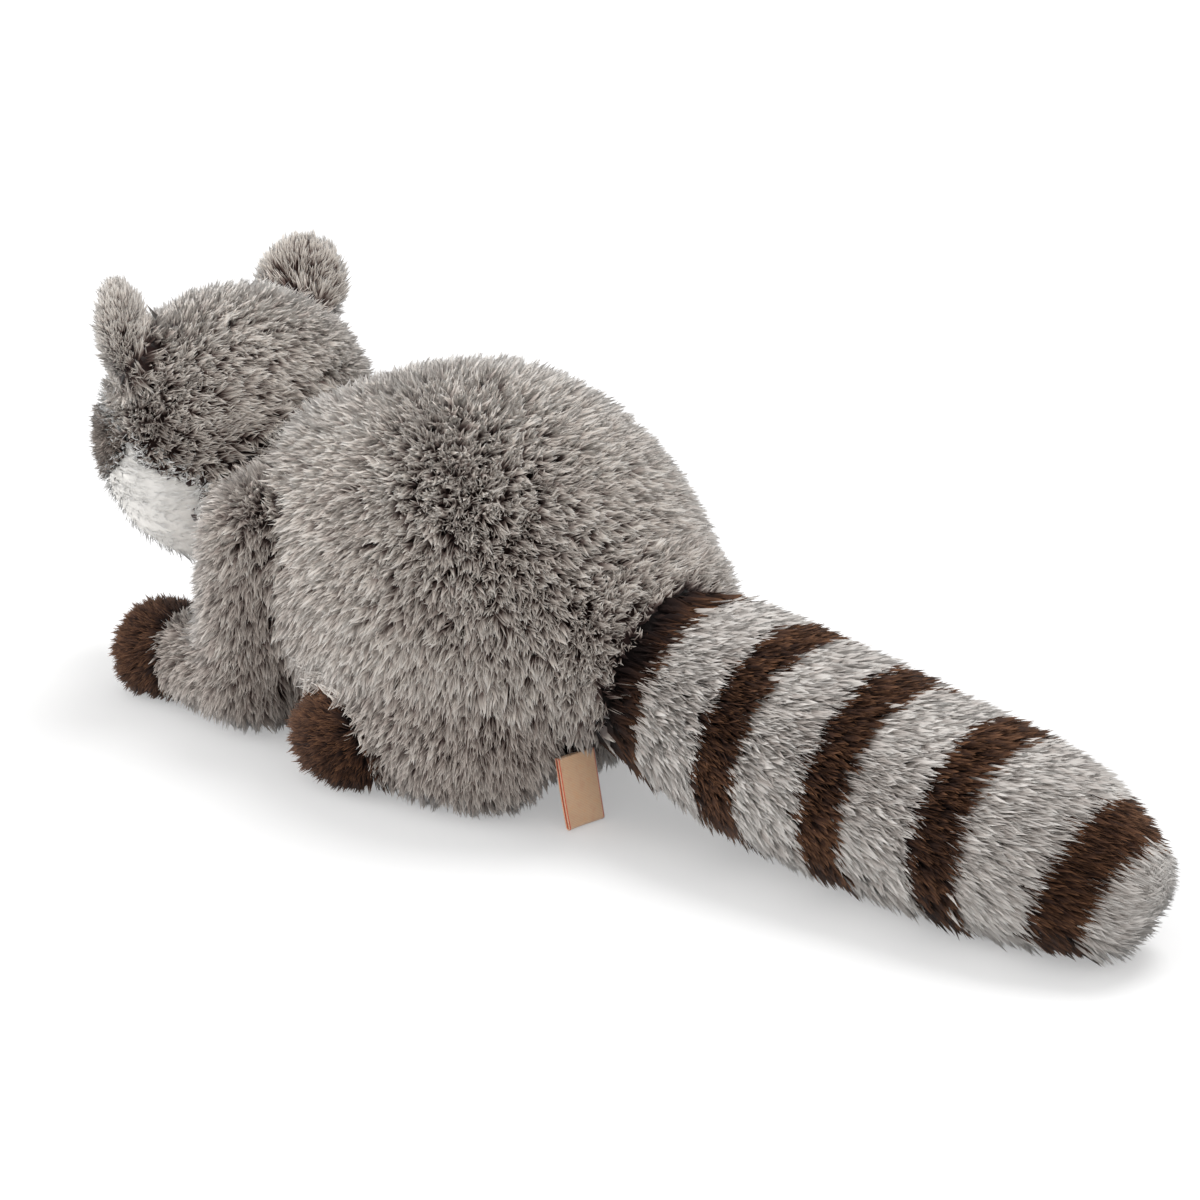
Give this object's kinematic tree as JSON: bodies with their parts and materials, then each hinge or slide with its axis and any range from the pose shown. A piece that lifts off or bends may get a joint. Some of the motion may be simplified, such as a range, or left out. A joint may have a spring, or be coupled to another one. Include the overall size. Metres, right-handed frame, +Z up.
{
  "type": "plush raccoon",
  "caption": "Stuffed plush raccoon lying on its belly, grey-brown frosted pile, white face, dark mask and paws, ringed tail stretched out behind.",
  "frame": {"origin": "on the floor, at the middle of the toy's overall box seen from above", "axes": "+Z up, -Y the way the nose points, +X towards the toy's own left side"},
  "size_m": [0.1336, 0.4378, 0.151],
  "materials": {
    "grey_pile": "long frosted pile, dark roots and light tips",
    "dark_pile": "dark brown pile",
    "white_pile": "long white pile",
    "ring_grey_pile": "long light grey pile",
    "nose_plastic": "satin black",
    "eye_plastic": "polished near black",
    "washer_plastic": "natural white",
    "label_ribbon": "peach satin ribbon"
  },
  "bodies": {
    "root": {"body": "grey_pile", "head": "grey_pile", "face": "white_pile", "muzzle": "white_pile", "nose": "nose_plastic", "mask_left": "dark_pile", "eye_left": "eye_plastic", "eye_washer_left": "washer_plastic", "ear_left": "grey_pile", "foreleg_left": "grey_pile", "forepaw_left": "dark_pile", "haunch_left": "grey_pile", "hind_paw_left": "dark_pile", "mask_right": "dark_pile", "eye_right": "eye_plastic", "eye_washer_right": "washer_plastic", "ear_right": "grey_pile", "foreleg_right": "grey_pile", "forepaw_right": "dark_pile", "haunch_right": "grey_pile", "hind_paw_right": "dark_pile", "tail_ring_1_dark": "dark_pile", "tail_ring_2_grey": "ring_grey_pile", "tail_ring_3_dark": "dark_pile", "tail_ring_4_grey": "ring_grey_pile", "tail_ring_5_dark": "dark_pile", "tail_ring_6_grey": "ring_grey_pile", "tail_ring_7_dark": "dark_pile", "tail_ring_8_grey": "ring_grey_pile", "tail_ring_9_dark": "dark_pile", "tail_tip_grey": "ring_grey_pile", "care_label": "label_ribbon"}
  },
  "joints": []
}
